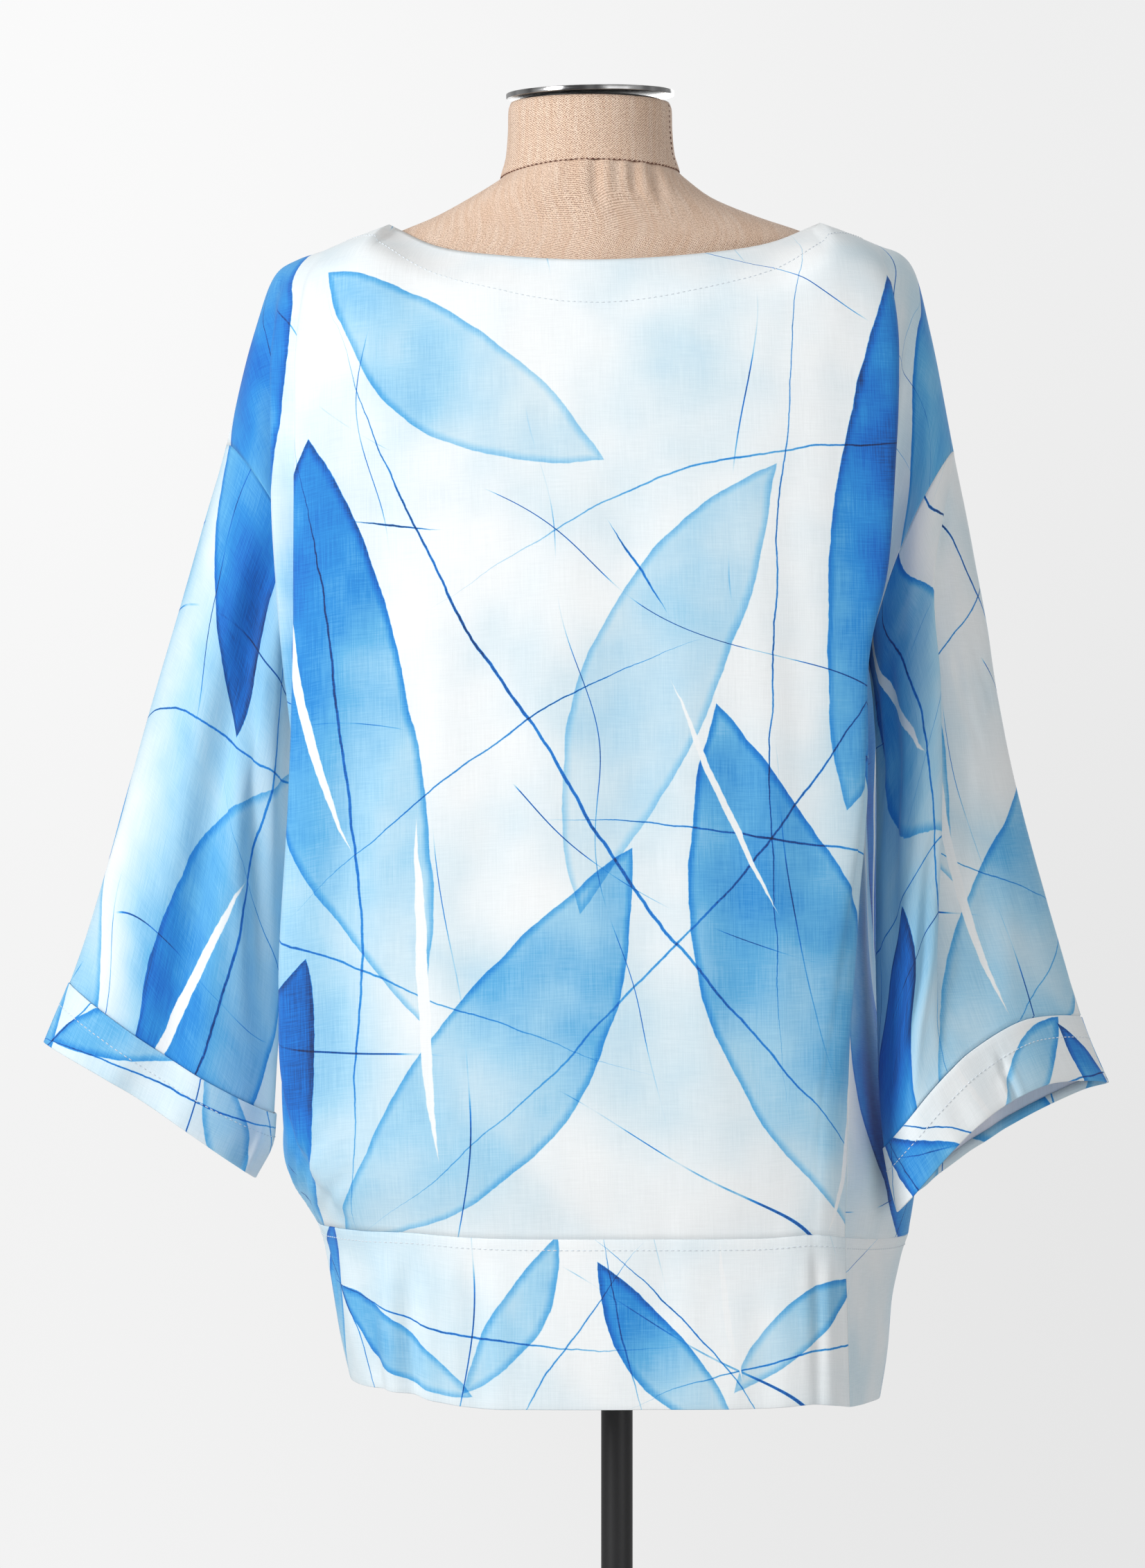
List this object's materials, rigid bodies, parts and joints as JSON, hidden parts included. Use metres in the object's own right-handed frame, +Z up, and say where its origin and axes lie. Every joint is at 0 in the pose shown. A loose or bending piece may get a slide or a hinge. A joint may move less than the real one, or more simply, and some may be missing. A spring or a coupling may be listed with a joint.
{
  "type": "blouse on a dress form",
  "caption": "Loose tunic blouse with a boat neck, dropped shoulders, wide cuffed sleeves and a hem band, on a limbless dress form with a pole and round base.",
  "frame": {"origin": "on the floor, under the middle of the dress form's base", "axes": "+Z up; the blouse's back faces -Y and its front +Y; +X runs to the right of someone who looks at the back"},
  "size_m": [0.7142, 0.33, 1.5451],
  "materials": {
    "print": "matte slubby plain weave with a blue wash print",
    "small_print": "the same cloth with a smaller, denser print",
    "linen": "beige twill-like linen",
    "steel": "polished steel",
    "black_metal": "matte black"
  },
  "bodies": {
    "root": {"back_panel": "print", "front_panel": "print", "sleeve_left": "print", "sleeve_right": "print", "cuff_left": "small_print", "cuff_right": "small_print", "hem_band_back": "small_print", "hem_band_front": "small_print", "form_torso": "linen", "form_neck": "linen", "neck_plate": "black_metal", "neck_disc": "steel", "pole": "black_metal", "base": "black_metal"}
  },
  "joints": []
}
